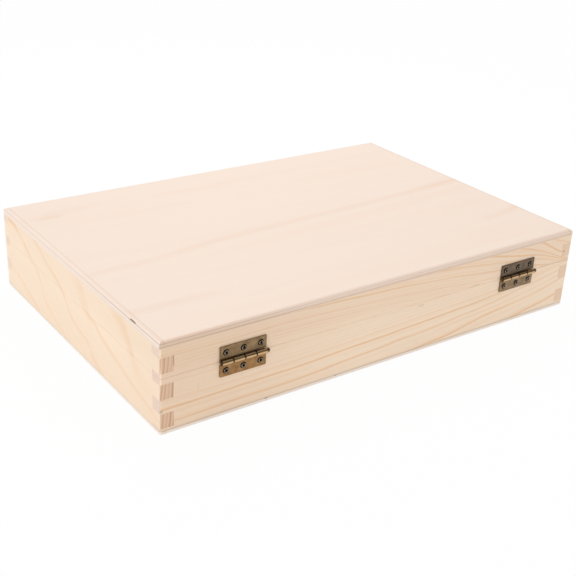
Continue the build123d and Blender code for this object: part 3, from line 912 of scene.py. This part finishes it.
# %% The twelve hinge screws
# Each head stands about half a millimetre proud of its leaf and is turned to its own angle.
# The profile is radius and height in millimetres: rim, cone, shank and tip.
hinge_screw_profile = ((1.8, 0.0), (1.8, -0.15), (1.45, -1.5), (1.2, -1.9), (1.15, -8.0),
                       (0.15, -8.7), (0.0, -8.8))
hinge_screw_top = {"crown": 0.4, "width": 1.3, "reach": 1.28, "depth": 0.8}
turns = iter((12, 51, 77, 33, 5, 64, 28, 81, 40, 70, 19, 57))
for side in ("left", "right"):
    for half, row in screw_rows.items():
        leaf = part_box(f"{side}_hinge_{half}_leaf")
        middle = (leaf[0][0] + leaf[1][0]) / 2 / MM
        for step in (-1, 0, 1):
            spot = (middle + step * screw_spacing, half_depth + rim_stands, row)
            cross_head_screw(f"{side}_hinge_{half}_screw_{step + 2}", hinge_screw_profile,
                             hinge_screw_top, spot, next(turns), (0, 1, 0), half,
                             metals["screw"])

# %% The clasp's two screws
# A round head is a shallow dome: its profile follows a circle through the rim and the top.
head_radius, head_height = 2.1, 1.3
dome = (head_radius ** 2 + head_height ** 2) / (2 * head_height)
dome_profile = [(radius, head_height - dome + math.sqrt(dome ** 2 - radius ** 2))
                for radius in (1.4, 1.6, 1.8, 1.95, 2.05, head_radius)]
clasp_profile = (*dome_profile, (1.25, 0.0), (1.25, -10.0), (1.0, -10.2), (0.0, -10.2))
clasp_top = {"crown": head_height - dome_profile[0][1], "width": 0.8, "reach": 1.15, "depth": 0.7}
for node, turn in (("clasp_pivot_screw", 20), ("clasp_catch_screw", 66)):
    low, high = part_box(node)
    spot = (0.0, (low[1] / MM) + head_height, (low[2] + high[2]) / 2 / MM)
    screw = cross_head_screw(f"{node}_brass", clasp_profile, clasp_top, spot, turn, (0, -1, 0),
                             body_of_node[node], metals["clasp"])
    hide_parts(node)

# %% [markdown]
# ## Studio
# The box stands on plain white card under soft lamps, with light from all round. The card has
# to look white without any more light on the box, so part of what the camera sees of it is
# plain white, and the rest is lit card that keeps the shadow. Polished metal needs something
# dark to reflect, or it looks like paint: so the room's walls are dim to its reflections.

# %% Floor
# Half the card's side in metres, the gap under the box, and the share of plain white
card_reach, card_gap, card_white = 8.0, 0.02 * MM, 0.95
bm = bmesh.new()
bmesh.ops.create_grid(bm, x_segments=1, y_segments=1, size=card_reach)
bmesh.ops.translate(bm, verts=bm.verts, vec=(0, 0, -card_gap))
floor_mesh = bpy.data.meshes.new("studio_floor")
bm.to_mesh(floor_mesh)
bm.free()
floor = bpy.data.objects.new("studio_floor", floor_mesh)
bpy.context.scene.collection.objects.link(floor)

card, tree = empty_material("white_card")
lit = add(tree, "BsdfPrincipled", {"Base Color": "FFFFFF", "Roughness": 0.9})
rays = add(tree, "LightPath")
seen = add(tree, "Math", (rays.outputs["Is Camera Ray"], rays.outputs["Is Glossy Ray"]),
           operation="MAXIMUM")
seen = add(tree, "Math", (seen, rays.outputs["Is Transmission Ray"]), operation="MAXIMUM")
white = add(tree, "Emission", {"Color": "FFFFFF", "Strength": 1.0})
share = add(tree, "Math", (seen, card_white), operation="MULTIPLY")
add(tree, "OutputMaterial", {"Surface": add(tree, "MixShader", (share, lit, white))})
floor_mesh.materials.append(card)
print("Floor at", round(floor_mesh.vertices[0].co.z / MM, 3), "mm")

# %% World
# The light of the room, and what its walls and ceiling look like to gloss
room_light, wall_light, ceiling_light = 0.875, 0.12, 0.75
world = bpy.data.worlds.new("studio")
bpy.context.scene.world = world
world.use_nodes = True
tree = world.node_tree
tree.nodes.clear()
rays = add(tree, "LightPath")
direction = add(tree, "SeparateXYZ", (add(tree, "TexCoord").outputs["Generated"],))
ceiling = add(tree, "MapRange", {"Value": direction.outputs["Z"], "From Min": 0.82,
                                 "From Max": 0.92, "To Min": wall_light, "To Max": ceiling_light})
plain = add(tree, "Math", (rays.outputs["Is Camera Ray"], rays.outputs["Is Transmission Ray"]),
            operation="MAXIMUM")
mirrored = add(tree, "Math", (rays.outputs["Is Glossy Ray"], ceiling), operation="MULTIPLY")
room = add(tree, "Background", {"Color": "FFFFFF", "Strength": room_light})
walls = add(tree, "Background", {"Color": "FFFFFF", "Strength": mirrored})
backdrop = add(tree, "Background", {"Color": "FFFFFF", "Strength": 1.0})
mixed = add(tree, "MixShader", (rays.outputs["Is Glossy Ray"], room, walls))
add(tree, "OutputWorld", {"Surface": add(tree, "MixShader", (plain, mixed, backdrop))})
print("Room light", room_light)

# %% Lamps
# Each one's place and side are in metres, and its power in watts
for name, place, size, power in (("softbox_side", (1.6, 0.0, 0.65), 1.2, 3.3),
                                 ("softbox_front", (-0.25, -0.55, 0.7), 0.5, 0.98)):
    lamp = bpy.data.lights.new(name, "AREA")
    lamp.shape = "SQUARE"
    lamp.size = size
    lamp.energy = power
    softbox = bpy.data.objects.new(name, lamp)
    softbox.location = place
    softbox.rotation_euler = (-softbox.location).to_track_quat("-Z", "Y").to_euler()
    bpy.context.scene.collection.objects.link(softbox)
    print(name, power, "W")

# %% [markdown]
# ## Camera
# The camera stands where the photographer stood. Its angles, distance and lens come from a
# pinhole camera fitted to the box's straight edges.

# %% Camera
# The photograph's width and the fitted focal length are in pixels, the sensor's width and the
# camera's place to the right, up and back from the box's origin in millimetres
photo_width, focal_length, sensor_width = 576, 1021.53, 36.0
place = (1.178, 5.176, 898.222)
azimuth, elevation, roll = (math.radians(angle) for angle in (143.9171, 25.6261, 2.7693))
turned = (Matrix.Rotation(azimuth, 4, "Z") @ Matrix.Rotation(math.pi / 2 - elevation, 4, "X")
          @ Matrix.Rotation(roll, 4, "Z"))
offset = sum((distance * MM * turned.col[i].xyz for i, distance in enumerate(place)), Vector())
lens = bpy.data.cameras.new("camera")
lens.sensor_width = sensor_width
lens.lens = focal_length / photo_width * sensor_width
lens.clip_start, lens.clip_end = 0.01, 50.0
camera = bpy.data.objects.new("camera", lens)
camera.matrix_world = Matrix.Translation(offset) @ turned
bpy.context.scene.collection.objects.link(camera)
bpy.context.scene.camera = camera
bpy.context.scene.view_settings.view_transform = "Standard"
print("Camera at", [round(c, 3) for c in camera.matrix_world.translation])
